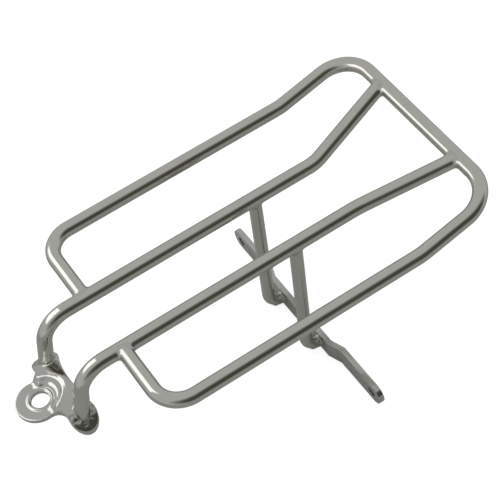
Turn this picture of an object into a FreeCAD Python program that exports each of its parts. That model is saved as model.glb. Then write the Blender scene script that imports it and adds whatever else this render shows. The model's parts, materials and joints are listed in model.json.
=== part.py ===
import FreeCAD, Part
import math
import os

# Luggage rack of bent round bar, welded to a pressed front plate and a flat crossbar.
# Frame, in millimetres: the origin is the centre of the front bolt hole at the underside
# of its tongue. +X runs along the rack to its rear, +Y to the right, +Z up from the deck.

os.makedirs("parts", exist_ok=True)
V = FreeCAD.Vector

# ---- driving dimensions ----
BAR_D = 12.7             # round bar of the loop and the two rails
LOOP_W = 198.0           # outer loop, side to side, on bar centres
RAIL_W = 59.2            # inner rails, centre to centre
DECK_Z = 48.0            # deck bars' centre plane above the tongue's underside
DECK_X0 = 68.0           # front returns' centre line behind the bolt hole
SIDE_LEN = 230.5         # straight side of the loop, front return to kick-up
KICK_LEN = 74.2          # kicked-up end, bend to rear cross member
KICK_DEG = 14.2          # kick-up angle
RAIL_STRAIGHT = 218.7    # straight deck length of a rail, front return to its bend
RAIL_REAR_W = 103.2      # rails' spacing where they meet the rear cross member
FRONT_R = 23.0           # centre-line radius of the loop's front corners
REAR_R = 30.0            # and of its rear corners
KICK_R = 40.0            # and of the kick-up bends
LEG_R = 26.0             # and of the rails' bend down into the legs
LEG_BACK = 38.0          # legs' centre line in front of the front returns, at the deck
LEG_LEAN_DEG = 10.5      # forward lean of the legs, going down

PLATE_T = 4.0            # pressed mounting plate
TONGUE_R = 18.3          # flat round tongue
TONGUE_FRONT = 20.6      # its tip in front of the bolt hole
HOLE_D = 15.0            # bolt hole
DISH_H = 7.0             # rise from the tongue to the arched strip behind it
DISH_FOOT_R = 10.5       # foot of the dished rise
DISH_FOOT_X = 1.0        # its centre behind the bolt hole
DISH_RIM_R = 17.0        # rim of the dished rise
DISH_RIM_X = 4.5         # its centre behind the bolt hole
ARCH_R = 60.0            # crosswise arch of the strip, outer face
STRIP_FRONT = 9.2        # strip's front edge behind the bolt hole
WAIST_X = 27.3           # its rear edge at the middle, curving back to the ears
RAMP_X = 3.0             # foot of the ramp up to the strip on each side of the dish
EAR_R = 11.5             # round ears under the legs, level with the strip's front edge
EAR_REACH = 31.2         # ear centres from the middle
NOTCH_R = 9.0            # inside corners between tongue and strip

FLAT_W = 19.05           # flat bar of the crossbar
FLAT_T = 4.8
STRUT_D = 11.1           # round bar of the struts
STRUT_X = 159.0          # struts' centre line behind the front returns, at the deck
STRUT_LEAN_DEG = 2.0     # forward lean, going down
STRUT_TUCK = 0.8         # how far the feet come in from the rails
FOOT_R = 14.0            # centre-line radius of the struts' turned feet
FOOT_DEG = 75.0          # a foot's slope from the vertical
FOOT_LOW = 2.5           # foot's end below the crossbar's middle
BAR_FACE_X = 166.0       # crossbar's front face behind the front returns
BAR_TOP_Z = -129.5       # crossbar's upper edge from the deck plane
CROSS_HALF = 43.0        # half of the crossbar's straight middle
JOG_LEN = 13.0           # length of each joggle along the bar
JOG_BACK = 4.8           # how far the joggle steps back
TAB_END = 112.0          # tab ends from the middle
TAB_HOLE_D = 8.5         # bolt hole in each tab
TAB_HOLE_IN = 12.0       # its centre in from the tab's end

WELD = 3.2               # leg length of the fillet welds
LEG_WELD = 4.0           # and of the heavier ones round the legs' ends
SKIN = 0.3               # thickness of a weld where it thins out over a bar

BAR_R = BAR_D / 2
KICK = math.radians(KICK_DEG)
FAR = 500.0              # longer than any reach of a cutting solid


def deck(x, y, z=0.0):
    """A point from its place behind the front returns and above the deck plane."""
    return V(DECK_X0 + x, y, DECK_Z + z)


def kicked(s, y):
    """A point on the kicked-up end, s along it from the bend."""
    return deck(SIDE_LEN + s * math.cos(KICK), y, s * math.sin(KICK))


def bent_wire(points, radii):
    """Straight runs through the points, with an arc of the given radius at each corner."""
    edges = []
    start = points[0]
    for i, radius in enumerate(radii, 1):
        corner = points[i]
        before = (points[i - 1] - corner).normalize()
        after = (points[i + 1] - corner).normalize()
        half = before.getAngle(after) / 2
        a = corner + before * (radius / math.tan(half))
        b = corner + after * (radius / math.tan(half))
        bisector = (before + after).normalize()
        centre = corner + bisector * (radius / math.sin(half))
        middle = centre - bisector * radius
        edges.append(Part.makeLine(start, a))
        edges.append(Part.Arc(a, middle, b).toShape())
        start = b
    edges.append(Part.makeLine(start, points[-1]))
    return Part.Wire(edges)


def bent_bar(points, radii, radius=BAR_R):
    """Round bar bent along the points."""
    along = points[1] - points[0]
    ring = Part.Wire(Part.makeCircle(radius, points[0], along))
    return bent_wire(points, radii).makePipeShell([ring], True, False)


def rod(a, b, radius=BAR_R):
    return Part.makeCylinder(radius, (b - a).Length, a, b - a)


def mirrored(shape):
    return shape.mirror(V(0, 0, 0), V(0, 1, 0))


# ---- bars of the deck ----
half_w = LOOP_W / 2
rail_y = RAIL_W / 2
rail_rear_y = RAIL_REAR_W / 2

loop = bent_bar(
    [deck(0, rail_y), deck(0, half_w), deck(SIDE_LEN, half_w), kicked(KICK_LEN, half_w),
     kicked(KICK_LEN, -half_w), deck(SIDE_LEN, -half_w), deck(0, -half_w), deck(0, -rail_y)],
    [FRONT_R, KICK_R, REAR_R, REAR_R, KICK_R, FRONT_R])

leg_drop = DECK_Z + PLATE_T
leg_foot_x = -LEG_BACK - leg_drop * math.tan(math.radians(LEG_LEAN_DEG))
rail_points = [deck(leg_foot_x, rail_y, -leg_drop), deck(-LEG_BACK, rail_y),
               deck(RAIL_STRAIGHT, rail_y), kicked(KICK_LEN, rail_rear_y)]
rail = bent_bar(rail_points, [LEG_R, KICK_R])

# each return is coped round the rail it meets, each rail round the rear cross member
rail_core = rod(deck(LEG_R - LEG_BACK, rail_y), deck(RAIL_STRAIGHT - LEG_R, rail_y))
loop = loop.cut(rail_core).cut(mirrored(rail_core))
rear_core = rod(kicked(KICK_LEN, half_w), kicked(KICK_LEN, -half_w))
rail = rail.cut(rear_core)


# ---- mounting plate: a flat tongue, a dished rise and an arched strip with two ears ----
crown_z = PLATE_T + DISH_H
tongue_x = TONGUE_R - TONGUE_FRONT
ear_x = STRIP_FRONT + EAR_R


def arch(radius):
    """Long cylinder along X, concentric with the strip's arch."""
    return Part.makeCylinder(radius, FAR, V(-FAR / 2, 0, crown_z - ARCH_R), V(1, 0, 0))


def disc(radius, x, y=0.0, low=0.0, high=PLATE_T):
    return Part.makeCylinder(radius, high - low, V(x, y, low))


def slab(front, rear, reach, low=0.0, high=PLATE_T):
    """Block between two edges across the plate, reach to each side of the middle."""
    return Part.makeBox(rear - front, 2 * reach, high - low, V(front, -reach, low))


def web(high):
    """The tongue and what fills the inside corners beside it, as one upright block."""
    corner_x = STRIP_FRONT - NOTCH_R
    reach = math.sqrt((TONGUE_R + NOTCH_R) ** 2 - (corner_x - tongue_x) ** 2)
    block = slab(corner_x, STRIP_FRONT + PLATE_T, reach, 0, high)
    for side in (1, -1):
        block = block.cut(disc(NOTCH_R, corner_x, side * reach, 0, high))
    return block.fuse(disc(TONGUE_R, tongue_x, 0, 0, high))


def ramp():
    """Slope across the plate, from the tongue's top up to the strip's crown."""
    foot = V(RAMP_X, -FAR / 2, PLATE_T)
    corners = [foot, V(STRIP_FRONT, -FAR / 2, crown_z), V(STRIP_FRONT + PLATE_T, -FAR / 2, crown_z),
               V(STRIP_FRONT + PLATE_T, -FAR / 2, PLATE_T), foot]
    return Part.Face(Part.makePolygon(corners)).extrude(V(0, FAR, 0))


def strip_plan():
    """The strip seen from above: waisted behind, the waist's arc running into two round ears."""
    offset = WAIST_X - ear_x
    waist_r = (offset ** 2 + EAR_REACH ** 2 - EAR_R ** 2) / (2 * (EAR_R - offset))
    share = EAR_R / (EAR_R + waist_r)
    join_x = ear_x + (offset + waist_r) * share
    join_y = EAR_REACH * (1 - share)
    outline = slab(STRIP_FRONT, ear_x, EAR_REACH, -DECK_Z, DECK_Z)
    outline = outline.fuse(slab(ear_x, join_x, join_y, -DECK_Z, DECK_Z))
    outline = outline.cut(disc(waist_r, WAIST_X + waist_r, 0, -DECK_Z, DECK_Z))
    for side in (1, -1):
        outline = outline.fuse(disc(EAR_R, ear_x, side * EAR_REACH, -DECK_Z, DECK_Z))
    return outline


def bowl(grow, low):
    """Sloping round hollow from the tongue's level up to the strip's, grown and lowered."""
    rings = [Part.Wire(Part.makeCircle(DISH_FOOT_R + grow, V(DISH_FOOT_X, 0, low))),
             Part.Wire(Part.makeCircle(DISH_RIM_R + grow, V(DISH_RIM_X, 0, low + DISH_H)))]
    return Part.makeLoft(rings, True, True)


plan = strip_plan()
strip = plan.common(arch(ARCH_R)).cut(arch(ARCH_R - PLATE_T))
rise = bowl(PLATE_T, PLATE_T).common(plan).common(arch(ARCH_R))
slope = web(crown_z).common(ramp()).common(arch(ARCH_R))
plate = web(PLATE_T).common(arch(ARCH_R)).fuse([strip, rise, slope])
plate = plate.cut(bowl(0, PLATE_T)).cut(disc(HOLE_D / 2, 0, 0, -DECK_Z, DECK_Z))
plate = plate.removeSplitter()

# each leg stands on the strip
rail = rail.cut(arch(ARCH_R))

# ---- struts: round bar, coped under a rail, leaning forward, foot turned to the rear ----
strut_r = STRUT_D / 2
bar_z = BAR_TOP_Z - FLAT_W / 2
foot_end = deck(BAR_FACE_X, rail_y - STRUT_TUCK, bar_z - FOOT_LOW)
foot_slope = math.radians(FOOT_DEG)
lean = math.radians(STRUT_LEAN_DEG)
strut_top = deck(STRUT_X, rail_y)
run = BAR_FACE_X - STRUT_X
fall = (strut_top.z - foot_end.z) * math.tan(lean)
knee_up = (run + fall) / (math.tan(foot_slope) + math.tan(lean))
knee = foot_end + V(-knee_up * math.tan(foot_slope), 0, knee_up)
strut = bent_bar([strut_top, knee, foot_end + (foot_end - knee)], [FOOT_R], strut_r)
strut = strut.cut(rail_core)
before_bar = Part.makeBox(FAR, FAR, FAR, deck(BAR_FACE_X - FAR, -FAR / 2, -FAR))
strut = strut.common(before_bar)

# ---- crossbar: flat bar on edge, stepped back on each side, ends rounded ----
mid_x = BAR_FACE_X + FLAT_T / 2
jog_y = CROSS_HALF + JOG_LEN
end_y = TAB_END - FLAT_W / 2
hole_y = TAB_END - TAB_HOLE_IN


def both_sides(points):
    """The points, then their mirror images in reverse."""
    return points + [(-y, w) for y, w in reversed(points)]


def crossbar_plan():
    """The bar's stepped line seen from above, as thick as the bar."""
    tab_x = mid_x + JOG_BACK
    line = both_sides([(TAB_END, tab_x), (jog_y, tab_x), (CROSS_HALF, mid_x)])
    front = [deck(x - FLAT_T / 2, y, -FAR) for y, x in line]
    back = [deck(x + FLAT_T / 2, y, -FAR) for y, x in reversed(line)]
    return Part.Face(Part.makePolygon(front + back + front[:1])).extrude(V(0, 0, FAR))


def crossbar_front():
    """The bar seen along X: a level strip with round ends and a hole in each."""
    shape = Part.makeBox(FAR, 2 * end_y, FLAT_W, deck(0, -end_y, BAR_TOP_Z - FLAT_W))
    for side in (1, -1):
        end = deck(0, side * end_y, bar_z)
        hole = deck(0, side * hole_y, bar_z)
        shape = shape.fuse(rod(end, end + V(FAR, 0, 0), FLAT_W / 2))
        shape = shape.cut(rod(hole, hole + V(FAR, 0, 0), TAB_HOLE_D / 2))
    return shape


crossbar = crossbar_plan().common(crossbar_front()).removeSplitter()


# ---- weld beads: fillet collars round each joint, cut clear of the pieces they join ----
def collar(root, along, radius, leg, start):
    """Cone round a bar's axis: leg wide at root, closing onto the bar at leg further on."""
    along = V(along).normalize()
    foot = root - along * start
    cone = Part.makeCone(radius + leg + start, radius, leg + start, foot, along)
    return cone.common(Part.makeCylinder(radius + leg, leg + start, foot, along))


def tee_weld(root, along, through, radius, cutters):
    """Weld where a bar along one direction ends on the side of a bar along another."""
    bead = collar(root + V(along).normalize() * BAR_R, along, radius, WELD, BAR_R)
    normal = V(along).cross(through).normalize()
    half = normal * (radius + SKIN)
    bead = bead.common(rod(root - half, root + half, 2 * BAR_D))
    for cutter in cutters:
        bead = bead.cut(cutter)
    return bead


along_x = V(1, 0, 0)
along_y = V(0, 1, 0)
return_weld = tee_weld(deck(0, rail_y), along_y, along_x, BAR_R, [rail_core, loop])
rail_end = rail_points[3]
rear_weld = tee_weld(rail_end, rail_points[2] - rail_end, along_y, BAR_R, [rear_core, rail])
strut_weld = tee_weld(strut_top, knee - strut_top, along_x, strut_r, [rail_core, strut])
foot_weld = collar(foot_end, knee - foot_end, strut_r, WELD, strut_r).cut(strut).common(before_bar)
leg_dir = rail_points[1] - rail_points[0]
leg_z = crown_z - (ARCH_R - math.sqrt(ARCH_R ** 2 - rail_y ** 2))
leg_root = rail_points[0] + leg_dir * ((leg_z - rail_points[0].z) / leg_dir.z)
leg_weld = collar(leg_root, leg_dir, BAR_R, LEG_WELD, LEG_WELD).cut(arch(ARCH_R)).cut(rail)

singles = {"outer_loop": loop, "mounting_plate": plate, "crossbar": crossbar}
pairs = {
    "rail": rail,
    "strut": strut,
    "return_weld": return_weld,
    "rear_rail_weld": rear_weld,
    "strut_top_weld": strut_weld,
    "strut_foot_weld": foot_weld,
    "leg_weld": leg_weld,
}
pieces = dict(singles)
for name, shape in pairs.items():
    pieces["right_" + name] = shape
    pieces["left_" + name] = mirrored(shape)
for name, shape in pieces.items():
    shape.exportStep("parts/" + name + ".step")
    print(name, len(shape.Solids), "solid", shape.isValid(), round(shape.Volume), "mm3")
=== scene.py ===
# %% [markdown]
# # A welded luggage rack of chromed round bar
# The rack is a kicked-up outer loop with two rails inside it. The rails bend down in front
# into legs on a pressed plate, and two struts hang below them and carry a flat crossbar.
# The measured model is loaded first and stays fixed. Every piece made below is bent, spun or
# bevelled to the same sizes, stands in for one measured piece, and rides on its body.

# %% Load the measured model
import json
import math

import bmesh
import bpy
from mathutils import Matrix, Vector, noise


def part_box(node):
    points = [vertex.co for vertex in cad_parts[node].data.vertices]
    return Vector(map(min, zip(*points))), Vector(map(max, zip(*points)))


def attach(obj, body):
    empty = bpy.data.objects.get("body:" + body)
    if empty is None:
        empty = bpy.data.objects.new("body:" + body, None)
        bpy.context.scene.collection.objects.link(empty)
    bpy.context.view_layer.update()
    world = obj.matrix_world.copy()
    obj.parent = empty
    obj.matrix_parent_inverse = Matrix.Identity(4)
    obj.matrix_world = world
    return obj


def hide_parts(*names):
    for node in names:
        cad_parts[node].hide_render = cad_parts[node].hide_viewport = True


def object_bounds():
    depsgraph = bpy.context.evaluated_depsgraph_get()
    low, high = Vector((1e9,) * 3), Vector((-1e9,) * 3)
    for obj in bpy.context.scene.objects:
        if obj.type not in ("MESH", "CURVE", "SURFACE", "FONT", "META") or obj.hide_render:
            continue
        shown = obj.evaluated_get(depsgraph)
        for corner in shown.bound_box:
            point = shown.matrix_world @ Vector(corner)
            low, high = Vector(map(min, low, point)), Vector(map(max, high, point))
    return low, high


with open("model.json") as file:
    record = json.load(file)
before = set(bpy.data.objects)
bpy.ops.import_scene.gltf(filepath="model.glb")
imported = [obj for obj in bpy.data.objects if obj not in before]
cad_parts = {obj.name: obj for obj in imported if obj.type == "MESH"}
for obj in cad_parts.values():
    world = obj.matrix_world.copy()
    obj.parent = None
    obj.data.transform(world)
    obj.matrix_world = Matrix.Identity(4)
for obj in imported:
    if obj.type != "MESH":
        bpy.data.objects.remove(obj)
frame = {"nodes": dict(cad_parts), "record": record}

cad_low, cad_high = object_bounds()
nodes = frame["nodes"]
MM = 0.001
X_WAY = Vector((1, 0, 0))
Y_WAY = Vector((0, 1, 0))
print("measured model:", len(nodes), "pieces,", [round(v / MM, 1) for v in cad_high - cad_low], "mm")

# %% [markdown]
# ## The camera
# The rack is seen from its left and above, from a little more than a metre away, with a
# long lens and the camera tipped over by about twelve degrees. A long lens keeps the bars
# nearly parallel. The camera comes first, so that every later piece can be judged in view.

# %% Camera
CAMERA_PLACE = Vector((-0.11574, -0.72274, 1.04415))
CAMERA_TURN_DEG = (37.342, 7.204, -33.016)
SENSOR_MM = 36.0
LENS_MM = 115.78

camera_data = bpy.data.cameras.new("Camera")
camera_data.sensor_width = SENSOR_MM
camera_data.lens = LENS_MM
camera = bpy.data.objects.new("Camera", camera_data)
camera.location = CAMERA_PLACE
camera.rotation_euler = [math.radians(angle) for angle in CAMERA_TURN_DEG]
bpy.context.scene.collection.objects.link(camera)
bpy.context.scene.camera = camera
bpy.context.scene.view_settings.view_transform = "Standard"
print("camera", [round(v, 3) for v in CAMERA_PLACE], "lens", LENS_MM, "mm")

# %% [markdown]
# ## Sizes read back from the measured model
# The loop's box gives where its front and sides run, and the crossbar's box gives where the
# struts end, so the looks can't drift from the measured pieces. Only what a box can't show
# is written here: bar and bend radii, the rails' places, and the angles.

# %% Sizes
BAR_R = 6.35 * MM
STRUT_R = 5.55 * MM
FRONT_BEND = 23.0 * MM
REAR_BEND = 30.0 * MM
KICK_BEND = 40.0 * MM
LEG_BEND = 26.0 * MM
FOOT_BEND = 14.0 * MM
KICK_LENGTH = 74.2 * MM
KICK_ANGLE = math.radians(14.2)
LEG_LEAN = math.radians(10.5)
STRUT_LEAN = math.radians(2.0)
FOOT_SLOPE = math.radians(75.0)
RAIL_Y = 29.6 * MM
RAIL_REAR_Y = 51.6 * MM
RAIL_STRAIGHT = 218.7 * MM
LEG_BACK = 38.0 * MM
STRUT_BACK = 159.0 * MM
STRUT_TUCK = 0.8 * MM
FOOT_LOW = 2.5 * MM

loop_low, loop_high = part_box("outer_loop")
cross_low, cross_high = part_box("crossbar")
deck_x = loop_low.x + BAR_R
deck_z = loop_low.z + BAR_R
half_w = loop_high.y - BAR_R
rear_x = loop_high.x - BAR_R
kick_x = rear_x - KICK_LENGTH * math.cos(KICK_ANGLE)
rear_z = deck_z + KICK_LENGTH * math.sin(KICK_ANGLE)
rail_bend_x = deck_x + RAIL_STRAIGHT
leg_x = deck_x - LEG_BACK
print("deck height", round(deck_z / MM, 2), "mm, half width", round(half_w / MM, 2), "mm")

# %% [markdown]
# ## How a bar is bent
# A real bar goes through a bender: straight runs, and arcs of one radius between them. The
# same is done here. A ring of edges is pushed along for a straight run, and spun about the
# bend's centre for an arc. Spin keeps every ring square to the bar, which chrome shows at
# once, because its reflections follow the slightest flat.

# %% Bar-bending helpers
RING_STEPS = 48
ARC_STEP = math.radians(3.0)


def push(bm, ring, move):
    """Extrudes the ring of edges straight along and returns the new ring."""
    grown = bmesh.ops.extrude_edge_only(bm, edges=ring)["geom"]
    verts = [part for part in grown if isinstance(part, bmesh.types.BMVert)]
    bmesh.ops.translate(bm, verts=verts, vec=move)
    return [part for part in grown if isinstance(part, bmesh.types.BMEdge) and part.is_boundary]


def bend(bm, ring, centre, axis, angle):
    """Spins the ring of edges about the bend's centre and returns the last ring."""
    verts = list({vert for edge in ring for vert in edge.verts})
    steps = max(3, math.ceil(angle / ARC_STEP))
    spun = bmesh.ops.spin(bm, geom=ring + verts, cent=centre, axis=axis, angle=angle,
                          steps=steps, use_merge=False, use_duplicate=False)["geom_last"]
    return [part for part in spun if isinstance(part, bmesh.types.BMEdge)]


def bent_bar(points, radii, radius):
    """A closed round bar along the points, with a bend of each radius at the inner ones."""
    bm = bmesh.new()
    run = points[1] - points[0]
    facing = run.to_track_quat("Z", "Y").to_matrix().to_4x4()
    bmesh.ops.create_circle(bm, cap_ends=False, segments=RING_STEPS, radius=radius,
                            matrix=Matrix.Translation(points[0]) @ facing)
    first = list(bm.edges)
    ring = first
    place = points[0]
    for corner, after, bend_r in zip(points[1:-1], points[2:], radii):
        direction = (corner - place).normalized()
        onward = (after - corner).normalized()
        angle = direction.angle(onward)
        setback = bend_r * math.tan(angle / 2)
        ring = push(bm, ring, corner - direction * setback - place)
        axis = direction.cross(onward).normalized()
        centre = corner - direction * setback + axis.cross(direction) * bend_r
        ring = bend(bm, ring, centre, axis, angle)
        place = corner + onward * setback
    ring = push(bm, ring, points[-1] - place)
    bmesh.ops.edgeloop_fill(bm, edges=first)
    bmesh.ops.edgeloop_fill(bm, edges=ring)
    bmesh.ops.remove_doubles(bm, verts=bm.verts, dist=0.001 * MM)
    bmesh.ops.recalc_face_normals(bm, faces=bm.faces)
    return bm


def trim(bm, place, outward):
    """Cuts away what lies beyond a plane and closes the cut."""
    geom = list(bm.verts) + list(bm.edges) + list(bm.faces)
    cut = bmesh.ops.bisect_plane(bm, geom=geom, dist=0.001 * MM, plane_co=place, plane_no=outward,
                                 clear_outer=True)["geom_cut"]
    bmesh.ops.edgeloop_fill(bm, edges=[part for part in cut if isinstance(part, bmesh.types.BMEdge)])
    bmesh.ops.recalc_face_normals(bm, faces=bm.faces)


print("bars are made with", RING_STEPS, "sides")

# %% [markdown]
# ## Pieces and their finish
# A piece is finished the same way each time: its mesh becomes an object at the origin, its
# faces are shaded smooth except across real corners, and it takes its material and the
# measured piece that it stands for. Left-hand pieces are mirror images of the right-hand
# ones, and a mirror turns a shape inside out, so its faces are turned back.

# %% Piece helpers
CORNER_ANGLE = math.radians(38.0)
pieces = {}


def finished(bm, name, node):
    """Makes the object, which rides on the rack's one body in place of the measured piece."""
    for face in bm.faces:
        face.smooth = True
    for edge in bm.edges:
        edge.smooth = len(edge.link_faces) == 2 and edge.calc_face_angle(0) < CORNER_ANGLE
    mesh = bpy.data.meshes.new(name)
    bm.to_mesh(mesh)
    bm.free()
    piece = bpy.data.objects.new(name, mesh)
    bpy.context.scene.collection.objects.link(piece)
    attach(piece, "root")
    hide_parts(node)
    pieces[node] = piece
    return piece


def finished_pair(bm, name, node):
    """Makes the right-hand piece and its mirror image on the left."""
    other = bm.copy()
    bmesh.ops.scale(other, vec=(1, -1, 1), verts=other.verts)
    bmesh.ops.recalc_face_normals(other, faces=other.faces)
    return [finished(bm, "Right_" + name, "right_" + node),
            finished(other, "Left_" + name, "left_" + node)]


print("helpers ready")

# %% [markdown]
# ## The outer loop
# One long bar makes the whole rim: in from the right rail, round the front corner, along the
# side, up the kick, round the rear, and back the same way to the left rail. Both ends stop
# inside the rails, where a welder would have coped them to fit.

# %% Outer loop
loop_points = [Vector((deck_x, RAIL_Y, deck_z)), Vector((deck_x, half_w, deck_z)),
               Vector((kick_x, half_w, deck_z)), Vector((rear_x, half_w, rear_z)),
               Vector((rear_x, -half_w, rear_z)), Vector((kick_x, -half_w, deck_z)),
               Vector((deck_x, -half_w, deck_z)), Vector((deck_x, -RAIL_Y, deck_z))]
loop_bends = [FRONT_BEND, KICK_BEND, REAR_BEND, REAR_BEND, KICK_BEND, FRONT_BEND]
outer_loop = finished(bent_bar(loop_points, loop_bends, BAR_R), "Outer_loop", "outer_loop")
print("outer loop:", len(outer_loop.data.polygons), "faces")

# %% [markdown]
# ## The rails and their legs
# Each rail is one bar too: a leg up from the plate, a bend into the long straight deck, and
# a gentle outward and upward bend to the rear cross member. The leg's foot is trimmed to
# the slope of the plate's arch, a little inside its thickness, so no gap can show.

# %% Rails
plate_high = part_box("mounting_plate")[1]
ARCH_R = 60.0 * MM
PLATE_T = 4.0 * MM
SUNK = 1.5 * MM
arch_axis_z = plate_high.z - ARCH_R
leg_slope = Vector((0, RAIL_Y / ARCH_R, math.sqrt(1 - (RAIL_Y / ARCH_R) ** 2)))
leg_drop = deck_z + PLATE_T
leg_top = Vector((leg_x, RAIL_Y, deck_z))
leg_foot = leg_top - Vector((leg_drop * math.tan(LEG_LEAN), 0, leg_drop))
rail_points = [leg_foot, leg_top, Vector((rail_bend_x, RAIL_Y, deck_z)),
               Vector((rear_x, RAIL_REAR_Y, rear_z))]
rail = bent_bar(rail_points, [LEG_BEND, KICK_BEND], BAR_R)
trim(rail, Vector((0, 0, arch_axis_z)) + leg_slope * (ARCH_R - SUNK), -leg_slope)
finished_pair(rail, "rail", "rail")
print("leg slope on the arch:", round(math.degrees(math.asin(leg_slope.y)), 1), "degrees")

# %% [markdown]
# ## The struts
# Thinner bar, coped under each rail, nearly upright, with the foot turned back to meet the
# crossbar. The foot ends a millimetre inside the flat bar.

# %% Struts
FOOT_SUNK = 1.0 * MM
FOOT_SPARE = 4.0 * MM
cross_mid_z = (cross_low.z + cross_high.z) / 2
strut_top = Vector((deck_x + STRUT_BACK, RAIL_Y, deck_z))
foot_end = Vector((cross_low.x, RAIL_Y - STRUT_TUCK, cross_mid_z - FOOT_LOW))
lean_back = foot_end.x - strut_top.x + (strut_top.z - foot_end.z) * math.tan(STRUT_LEAN)
knee_rise = lean_back / (math.tan(FOOT_SLOPE) + math.tan(STRUT_LEAN))
knee = foot_end + Vector((-knee_rise * math.tan(FOOT_SLOPE), 0, knee_rise))
foot_way = (foot_end - knee).normalized()
strut = bent_bar([strut_top, knee, foot_end + foot_way * FOOT_SPARE], [FOOT_BEND], STRUT_R)
trim(strut, foot_end + X_WAY * FOOT_SUNK, X_WAY)
finished_pair(strut, "strut", "strut")
print("strut knee at", [round(v / MM, 1) for v in knee], "mm")

# %% [markdown]
# ## The crossbar
# Flat bar set on edge, stepped back on each side and rounded at its ends. Its measured mesh
# already has the right shape, but its corners are razor sharp, and plated metal never is.
# So a copy is merged, its flat faces are joined, the upright folds of the steps get a
# proper bend radius, and every other corner gets a small round.

# %% Crossbar
FOLD_R = 5.0 * MM
EDGE_ROUND = 0.7 * MM


def merged_copy(node):
    """A copy of a measured mesh with its loose triangles joined into whole faces."""
    bm = bmesh.new()
    bm.from_mesh(nodes[node].data)
    bmesh.ops.remove_doubles(bm, verts=bm.verts, dist=0.002 * MM)
    bmesh.ops.dissolve_limit(bm, angle_limit=math.radians(0.5), verts=bm.verts, edges=bm.edges)
    return bm


def round_edges(bm, edges, offset, steps):
    bmesh.ops.bevel(bm, geom=edges, offset=offset, offset_type="OFFSET", segments=steps,
                    profile=0.5, material=-1, affect="EDGES", clamp_overlap=True)


crossbar = merged_copy("crossbar")
upright = [edge for edge in crossbar.edges
           if abs((edge.verts[0].co - edge.verts[1].co).normalized().z) > 0.99
           and math.radians(15) < edge.calc_face_angle(0) < math.radians(30)]
print("upright folds:", len(upright))
round_edges(crossbar, upright, FOLD_R * math.tan(math.radians(10)), 6)
corners = [edge for edge in crossbar.edges if edge.calc_face_angle(0) > math.radians(40)]
round_edges(crossbar, corners, EDGE_ROUND, 4)
finished(crossbar, "Crossbar", "crossbar")
print("crossbar:", len(corners), "corner edges rounded")

# %% [markdown]
# ## The mounting plate
# A pressed plate has no sharp step anywhere: the sheet flows from the flat tongue up the
# dish and over the arch. A voxel remesh of the measured shape followed by smoothing gives
# that flow, which no chain of bevels on its crossing curves would. A lip round the hole, two
# low ridges behind it and the waves that welding left on the ears are then raised by moving
# the points near them along their normals. Both ears take the same waves.

# %% Mounting plate
VOXEL = 0.55 * MM
SMOOTH_ROUNDS = 4
FLOW_ROUNDS = 30
FLOW_BACK = 26.0 * MM
FLOW_SIDE = 24.0 * MM
FLOW_FREE_R = 8.5 * MM
RIDGE_RADII = (12.3 * MM, 18.0 * MM)
EAR_X = 20.7 * MM
EAR_Y = 31.2 * MM
WAVE_REACH = 14.0 * MM
WAVE_HEIGHT = 0.8 * MM
WAVES_PER_M = 240.0
LIP_RADIUS = 9.6 * MM
LIP_HALF = 1.6 * MM
LIP_HEIGHT = 0.7 * MM
RIDGE_HALF = 2.4 * MM
RIDGE_HEIGHT = 0.45 * MM
RIDGE_CENTRE_X = 1.0 * MM
RIDGE_START = 6.0 * MM
UPWARD = 0.3


def remeshed(bm, name, voxel, rounds):
    """The shape with flowing corners, as a new mesh."""
    mesh = bpy.data.meshes.new(name)
    bm.to_mesh(mesh)
    bm.free()
    holder = bpy.data.objects.new(name, mesh)
    bpy.context.scene.collection.objects.link(holder)
    grid = holder.modifiers.new("Remesh", "REMESH")
    grid.mode = "VOXEL"
    grid.voxel_size = voxel
    flow = holder.modifiers.new("Smooth", "SMOOTH")
    flow.factor = 0.5
    flow.iterations = rounds
    result = bpy.data.meshes.new_from_object(holder.evaluated_get(bpy.context.evaluated_depsgraph_get()))
    bpy.data.objects.remove(holder)
    made = bmesh.new()
    made.from_mesh(result)
    return made


plate = remeshed(merged_copy("mounting_plate"), "plate_form", VOXEL, SMOOTH_ROUNDS)
plate.normal_update()
pressed = [vert for vert in plate.verts if vert.normal.z > 0.2 and 0 < vert.co.x < FLOW_BACK
           and abs(vert.co.y) < FLOW_SIDE and math.hypot(vert.co.x, vert.co.y) > FLOW_FREE_R]
for turn in range(FLOW_ROUNDS):
    bmesh.ops.smooth_vert(plate, verts=pressed, factor=0.5, use_axis_x=True, use_axis_y=True,
                          use_axis_z=True)
plate.normal_update()


def swell(distance, half):
    """A smooth bump's share of its height: one at its middle, none beyond half its width."""
    return max(0.0, 1 - (distance / half) ** 2) ** 2


for vert in plate.verts:
    behind = min(1.0, max(0.0, vert.co.x / RIDGE_START))
    if vert.normal.z > UPWARD:
        for ridge in RIDGE_RADII:
            away = math.hypot(vert.co.x - RIDGE_CENTRE_X, vert.co.y) - ridge
            vert.co += vert.normal * (RIDGE_HEIGHT * swell(away, RIDGE_HALF) * behind)
        away = math.hypot(vert.co.x, vert.co.y) - LIP_RADIUS
        vert.co += vert.normal * (LIP_HEIGHT * swell(away, LIP_HALF))
        from_ear = math.hypot(vert.co.x - EAR_X, abs(vert.co.y) - EAR_Y)
        fade = max(0.0, 1 - (from_ear / WAVE_REACH) ** 2)
        here = Vector((vert.co.x, abs(vert.co.y), vert.co.z))
        vert.co += vert.normal * (WAVE_HEIGHT * noise.noise(here * WAVES_PER_M) * fade)
finished(plate, "Mounting_plate", "mounting_plate")
print("mounting plate:", len(pieces["mounting_plate"].data.polygons), "faces")

# %% [markdown]
# ## Weld beads
# On the real rack every weld is dressed smooth before plating, so one bar seems to grow out
# of the other. Each joint is made the same way: short lengths of both pieces are joined into
# one skin, and the skin is relaxed. Relaxing fills the inside corner with a hollow curve and
# shrinks the rest a hair, so that only the curve shows outside the bars.

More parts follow.
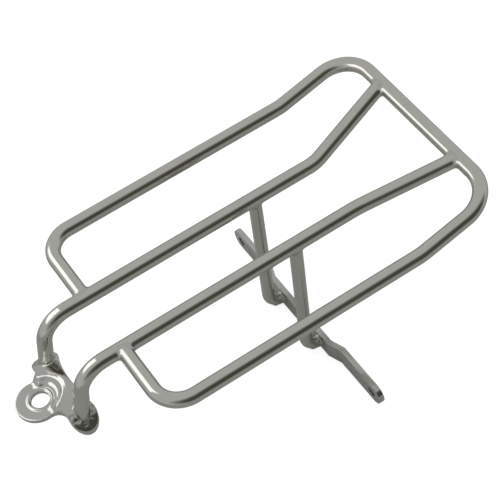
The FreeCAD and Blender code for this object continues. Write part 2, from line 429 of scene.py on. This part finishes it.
# %% Joint helpers
WELD_VOXEL = 0.5 * MM
TEE_ROUNDS = 150
TEE_GROW = 0.16 * MM
TEE_REACH = 13.0 * MM


def add_rod(bm, start, end, radius):
    """A capped round rod between two points."""
    run = end - start
    facing = run.to_track_quat("Z", "Y").to_matrix().to_4x4()
    bmesh.ops.create_cone(bm, cap_ends=True, segments=64, radius1=radius, radius2=radius,
                          depth=run.length, matrix=Matrix.Translation((start + end) / 2) @ facing)


def tee_weld(joint, along, through, radius):
    """The weld where a bar ends on the side of a round one that runs through the joint."""
    bm = bmesh.new()
    add_rod(bm, joint - through * TEE_REACH, joint + through * TEE_REACH, BAR_R + TEE_GROW)
    add_rod(bm, joint, joint + along * (BAR_R + TEE_REACH), radius + TEE_GROW)
    return remeshed(bm, "joint_form", WELD_VOXEL, TEE_ROUNDS)


# %% Weld beads
FOOT_ROUNDS = 30
FOOT_GROW = 0.1 * MM
FOOT_UP = 9.0 * MM
FOOT_IN = 1.5 * MM
WALL_T = 2.4 * MM
WALL_IN = 0.1 * MM
WALL_HALF = 8.2 * MM
WALL_EDGE = 0.6 * MM
LEG_ROUNDS = 110
LEG_GROW = 0.1 * MM
LEG_UP = 16.0 * MM
SKIN_DEPTH = 0.15 * MM
EAR_INSIDE = 17.0 * MM
BEAD_TOP = 9.0 * MM
BEAD_WAVES = 290.0
BEAD_HEIGHT = 0.45 * MM
BEAD_SINK = 0.15
finished_pair(tee_weld(loop_points[0], Y_WAY, X_WAY, BAR_R), "return_weld", "return_weld")

rail_end = rail_points[3]
rail_back = (rail_points[2] - rail_end).normalized()
finished_pair(tee_weld(rail_end, rail_back, Y_WAY, BAR_R), "rear_rail_weld", "rear_rail_weld")

strut_way = (knee - strut_top).normalized()
finished_pair(tee_weld(strut_top, strut_way, X_WAY, STRUT_R), "strut_top_weld", "strut_top_weld")

foot_form = bmesh.new()
add_rod(foot_form, foot_end - foot_way * FOOT_UP, foot_end + foot_way * FOOT_IN, STRUT_R + FOOT_GROW)
wall_half = Vector((WALL_T / 2, WALL_HALF, (cross_high.z - cross_low.z) / 2 - WALL_EDGE))
wall_at = Vector((cross_low.x + WALL_IN + WALL_T / 2, foot_end.y, cross_mid_z))
bmesh.ops.create_cube(foot_form, size=2.0,
                      matrix=Matrix.Translation(wall_at) @ Matrix.Diagonal((*wall_half, 1)))
foot_weld = remeshed(foot_form, "foot_form", WELD_VOXEL, FOOT_ROUNDS)
finished_pair(foot_weld, "strut_foot_weld", "strut_foot_weld")

leg_way = (leg_top - leg_foot).normalized()
leg_form = merged_copy("mounting_plate")
bmesh.ops.translate(leg_form, verts=leg_form.verts, vec=leg_slope * -SKIN_DEPTH)
bmesh.ops.triangulate(leg_form, faces=leg_form.faces)
trim(leg_form, Vector((0, EAR_INSIDE, 0)), -Y_WAY)
leg_z = arch_axis_z + math.sqrt(ARCH_R ** 2 - RAIL_Y ** 2)
leg_root = leg_foot + leg_way * ((leg_z - leg_foot.z) / leg_way.z)
add_rod(leg_form, leg_root - leg_way * SUNK, leg_root + leg_way * LEG_UP, BAR_R + LEG_GROW)
leg_weld = remeshed(leg_form, "leg_form", WELD_VOXEL, LEG_ROUNDS)
leg_weld.normal_update()
for vert in leg_weld.verts:
    fade = min(1.0, max(0.0, (leg_root.z + BEAD_TOP - vert.co.z) / BEAD_TOP))
    wave = noise.noise(vert.co * BEAD_WAVES)
    vert.co += vert.normal * (BEAD_HEIGHT * (wave * fade - BEAD_SINK))
finished_pair(leg_weld, "leg_weld", "leg_weld")
print("weld beads:", sum("weld" in node for node in pieces))

# %% [markdown]
# ## The chrome
# Chrome has next to no colour of its own: it is a mirror with a faint warm cast. What makes
# it look real is what is slightly wrong with it: a shallow ripple left by polishing under
# the plate, a thin haze of handling that blurs it in patches, and a few dull specks. These
# go into one node group, and each finish places it with its own values.

# %% Plating marks, shared by every finish
def link(tree, source, target):
    tree.links.new(source, target)


def node(tree, kind, place, **settings):
    made = tree.nodes.new(kind)
    made.location = place
    for key, value in settings.items():
        setattr(made, key, value)
    return made


def plating_marks():
    """Group: tint, haze and ripple that vary over a plated surface."""
    group = bpy.data.node_groups.new("Plating marks", "ShaderNodeTree")
    face = group.interface
    for name, kind, value in (("Ripple size", "NodeSocketFloat", 180.0),
                              ("Haze low", "NodeSocketFloat", 0.08),
                              ("Haze high", "NodeSocketFloat", 0.2),
                              ("Bright", "NodeSocketColor", (0.6, 0.6, 0.58, 1)),
                              ("Dull", "NodeSocketColor", (0.5, 0.5, 0.48, 1))):
        socket = face.new_socket(name, in_out="INPUT", socket_type=kind)
        socket.default_value = value
    face.new_socket("Tint", in_out="OUTPUT", socket_type="NodeSocketColor")
    face.new_socket("Haze", in_out="OUTPUT", socket_type="NodeSocketFloat")
    face.new_socket("Ripple", in_out="OUTPUT", socket_type="NodeSocketFloat")
    source = node(group, "NodeGroupInput", (-900, 0))
    result = node(group, "NodeGroupOutput", (700, 0))
    where = node(group, "ShaderNodeTexCoord", (-900, 300))

    patches = node(group, "ShaderNodeTexNoise", (-600, 300))
    patches.inputs["Scale"].default_value = 28.0
    patches.inputs["Detail"].default_value = 5.0
    link(group, where.outputs["Object"], patches.inputs["Vector"])
    spread = node(group, "ShaderNodeMapRange", (-350, 300), interpolation_type="SMOOTHSTEP")
    spread.inputs["From Min"].default_value = 0.38
    spread.inputs["From Max"].default_value = 0.68
    link(group, patches.outputs["Fac"], spread.inputs["Value"])
    link(group, source.outputs["Haze low"], spread.inputs["To Min"])
    link(group, source.outputs["Haze high"], spread.inputs["To Max"])

    specks = node(group, "ShaderNodeTexVoronoi", (-600, -50))
    specks.inputs["Scale"].default_value = 260.0
    link(group, where.outputs["Object"], specks.inputs["Vector"])
    dots = node(group, "ShaderNodeMapRange", (-350, -50))
    dots.inputs["From Min"].default_value = 0.05
    dots.inputs["From Max"].default_value = 0.10
    dots.inputs["To Min"].default_value = 0.14
    dots.inputs["To Max"].default_value = 0.0
    link(group, specks.outputs["Distance"], dots.inputs["Value"])
    haze = node(group, "ShaderNodeMath", (-50, 200), operation="ADD")
    link(group, spread.outputs["Result"], haze.inputs[0])
    link(group, dots.outputs["Result"], haze.inputs[1])
    link(group, haze.outputs["Value"], result.inputs["Haze"])

    tone = node(group, "ShaderNodeTexNoise", (-600, -350))
    tone.inputs["Scale"].default_value = 60.0
    tone.inputs["Detail"].default_value = 3.0
    link(group, where.outputs["Object"], tone.inputs["Vector"])
    tint = node(group, "ShaderNodeMix", (-50, -350), data_type="RGBA")
    link(group, tone.outputs["Fac"], tint.inputs["Factor"])
    link(group, source.outputs["Bright"], tint.inputs["A"])
    link(group, source.outputs["Dull"], tint.inputs["B"])
    link(group, tint.outputs["Result"], result.inputs["Tint"])

    ripple = node(group, "ShaderNodeTexNoise", (-600, -650))
    ripple.inputs["Detail"].default_value = 1.0
    link(group, where.outputs["Object"], ripple.inputs["Vector"])
    link(group, source.outputs["Ripple size"], ripple.inputs["Scale"])
    link(group, ripple.outputs["Fac"], result.inputs["Ripple"])
    return group


marks = plating_marks()
print("node group", marks.name, "with", len(marks.nodes), "nodes")

# %% Chrome finishes
def chrome(name, bright, dull, ripple_size, haze, bump_mm):
    """A plated finish: mirror metal with its own share of the plating marks."""
    material = bpy.data.materials.new(name)
    material.use_nodes = True
    tree = material.node_tree
    shader = tree.nodes["Principled BSDF"]
    shader.inputs["Metallic"].default_value = 1.0
    group = node(tree, "ShaderNodeGroup", (-600, 0), node_tree=marks)
    group.inputs["Ripple size"].default_value = ripple_size
    group.inputs["Haze low"].default_value = haze[0]
    group.inputs["Haze high"].default_value = haze[1]
    group.inputs["Bright"].default_value = (*bright, 1)
    group.inputs["Dull"].default_value = (*dull, 1)
    bump = node(tree, "ShaderNodeBump", (-300, -250))
    bump.inputs["Strength"].default_value = 1.0
    bump.inputs["Distance"].default_value = bump_mm * MM
    link(tree, group.outputs["Tint"], shader.inputs["Base Color"])
    link(tree, group.outputs["Haze"], shader.inputs["Roughness"])
    link(tree, group.outputs["Ripple"], bump.inputs["Height"])
    link(tree, bump.outputs["Normal"], shader.inputs["Normal"])
    return material


bar_chrome = chrome("Bar chrome", (0.67, 0.665, 0.615), (0.59, 0.585, 0.54), 150.0, (0.12, 0.18), 0.04)
plate_chrome = chrome("Plate chrome", (0.62, 0.62, 0.585), (0.54, 0.54, 0.505), 120.0, (0.12, 0.2), 0.12)
weld_chrome = chrome("Weld chrome", (0.62, 0.62, 0.585), (0.52, 0.52, 0.49), 330.0, (0.12, 0.2), 0.15)

finish_of_slot = {"bar_chrome": bar_chrome, "plate_chrome": plate_chrome, "weld_chrome": weld_chrome}
for part in frame["record"]["subparts"]:
    piece = pieces[part["node"]]
    piece.data.materials.append(finish_of_slot[part["material_slot"]])
print("finished pieces:", len(pieces))

# %% [markdown]
# ## Floor and light
# Chrome shows its surroundings, so the room matters more than the lamps. It is a soft grey
# studio with one darker side behind the camera, which draws the dark line along each bar,
# and a white screen close by on the front right of the rack, which draws the bright ones.
# Only mirrors see the screen, and a softbox overhead lights the floor. The floor is pale
# and plain. The camera sees it lit up to white, while the bars mirror its softer own tone.

# %% Floor
FLOOR_R = 0.9
FLOOR_GAP = 0.5 * MM
FLOOR_LIFT = 0.8
floor_bm = bmesh.new()
floor_middle = Vector(((cad_low.x + cad_high.x) / 2, 0, cad_low.z - FLOOR_GAP))
bmesh.ops.create_circle(floor_bm, cap_ends=True, segments=96, radius=FLOOR_R,
                        matrix=Matrix.Translation(floor_middle))
floor_mesh = bpy.data.meshes.new("Floor")
floor_bm.to_mesh(floor_mesh)
floor_bm.free()
floor = bpy.data.objects.new("Floor", floor_mesh)
bpy.context.scene.collection.objects.link(floor)

floor_paint = bpy.data.materials.new("Pale floor")
floor_paint.use_nodes = True
tree = floor_paint.node_tree
paint = tree.nodes["Principled BSDF"]
paint.inputs["Base Color"].default_value = (0.6, 0.6, 0.59, 1)
paint.inputs["Roughness"].default_value = 0.9
paint.inputs["Specular IOR Level"].default_value = 0.0
paint.inputs["Emission Color"].default_value = (1, 1, 1, 1)
seen = node(tree, "ShaderNodeLightPath", (-600, 0))
lift = node(tree, "ShaderNodeMath", (-300, 0), operation="MULTIPLY")
lift.inputs[1].default_value = FLOOR_LIFT
link(tree, seen.outputs["Is Camera Ray"], lift.inputs[0])
link(tree, lift.outputs["Value"], paint.inputs["Emission Strength"])
floor.data.materials.append(floor_paint)
print("floor at", round(floor_middle.z / MM, 2), "mm")

# %% Studio surroundings
GREY_ROOM = (0.55, 0.55, 0.55, 1)
DARK_SIDE = (0.075, 0.075, 0.06, 1)
SEEN_WHITE = (1, 1, 1, 1)
DARK_WAY = (0.114, -0.894, 0.434)
DARK_STRETCH = (0.45, 1.0, 1.0)
DARK_EDGE = 0.707
DARK_CORE = 0.956

world = bpy.data.worlds.new("Studio")
bpy.context.scene.world = world
world.use_nodes = True
tree = world.node_tree
backdrop = tree.nodes["Background"]
backdrop.inputs["Strength"].default_value = 1.0
way = node(tree, "ShaderNodeTexCoord", (-1300, 0))

# squeezing the view direction sideways makes the dark patch wide and low
squeezed = node(tree, "ShaderNodeVectorMath", (-1100, 0), operation="MULTIPLY")
squeezed.inputs[1].default_value = DARK_STRETCH
link(tree, way.outputs["Generated"], squeezed.inputs[0])
unit = node(tree, "ShaderNodeVectorMath", (-900, 0), operation="NORMALIZE")
link(tree, squeezed.outputs["Vector"], unit.inputs[0])
dot = node(tree, "ShaderNodeVectorMath", (-700, 0), operation="DOT_PRODUCT")
dot.inputs[1].default_value = DARK_WAY
link(tree, unit.outputs["Vector"], dot.inputs[0])
fade = node(tree, "ShaderNodeMapRange", (-500, 0))
fade.inputs["From Min"].default_value = DARK_EDGE
fade.inputs["From Max"].default_value = DARK_CORE
link(tree, dot.outputs["Value"], fade.inputs["Value"])
room = node(tree, "ShaderNodeMix", (-250, 0), data_type="RGBA")
room.inputs["A"].default_value = GREY_ROOM
room.inputs["B"].default_value = DARK_SIDE
link(tree, fade.outputs["Result"], room.inputs["Factor"])

ray = node(tree, "ShaderNodeLightPath", (-200, 300))
shown = node(tree, "ShaderNodeMix", (100, 0), data_type="RGBA")
shown.inputs["B"].default_value = SEEN_WHITE
link(tree, ray.outputs["Is Camera Ray"], shown.inputs["Factor"])
link(tree, room.outputs["Result"], shown.inputs["A"])
link(tree, shown.outputs["Result"], backdrop.inputs["Color"])
print("room with", len(tree.nodes), "nodes")

# %% Softbox and white screen
SOFTBOX_SIZE = 1.5
SOFTBOX_HEIGHT = 2.0
SOFTBOX_WATTS = 6.0
SCREEN_PLACE = Vector((-0.10, 0.28, 0.265))
SCREEN_FACES = Vector((0.8, 0, -0.6))
SCREEN_ACROSS = 0.25
SCREEN_ALONG = 0.5
SCREEN_WATTS = 0.43

softbox_data = bpy.data.lights.new("Softbox", "AREA")
softbox_data.size = SOFTBOX_SIZE
softbox_data.energy = SOFTBOX_WATTS
softbox = bpy.data.objects.new("Softbox", softbox_data)
softbox.location = floor_middle + Vector((0, 0, SOFTBOX_HEIGHT))
softbox.visible_glossy = False
bpy.context.scene.collection.objects.link(softbox)

screen_data = bpy.data.lights.new("White screen", "AREA")
screen_data.shape = "RECTANGLE"
screen_data.size = SCREEN_ACROSS
screen_data.size_y = SCREEN_ALONG
screen_data.energy = SCREEN_WATTS
screen = bpy.data.objects.new("White screen", screen_data)
screen.location = SCREEN_PLACE
back = -SCREEN_FACES.normalized()
turn = Matrix((Y_WAY.cross(back).normalized(), Y_WAY, back)).transposed()
screen.rotation_euler = turn.to_euler()
screen.visible_camera = False
screen.visible_diffuse = False
bpy.context.scene.collection.objects.link(screen)
print("softbox", SOFTBOX_WATTS, "W, screen", SCREEN_WATTS, "W")

# %% Print the measured box
print("measured", [round(v / MM, 2) for v in (*cad_low, *cad_high)])
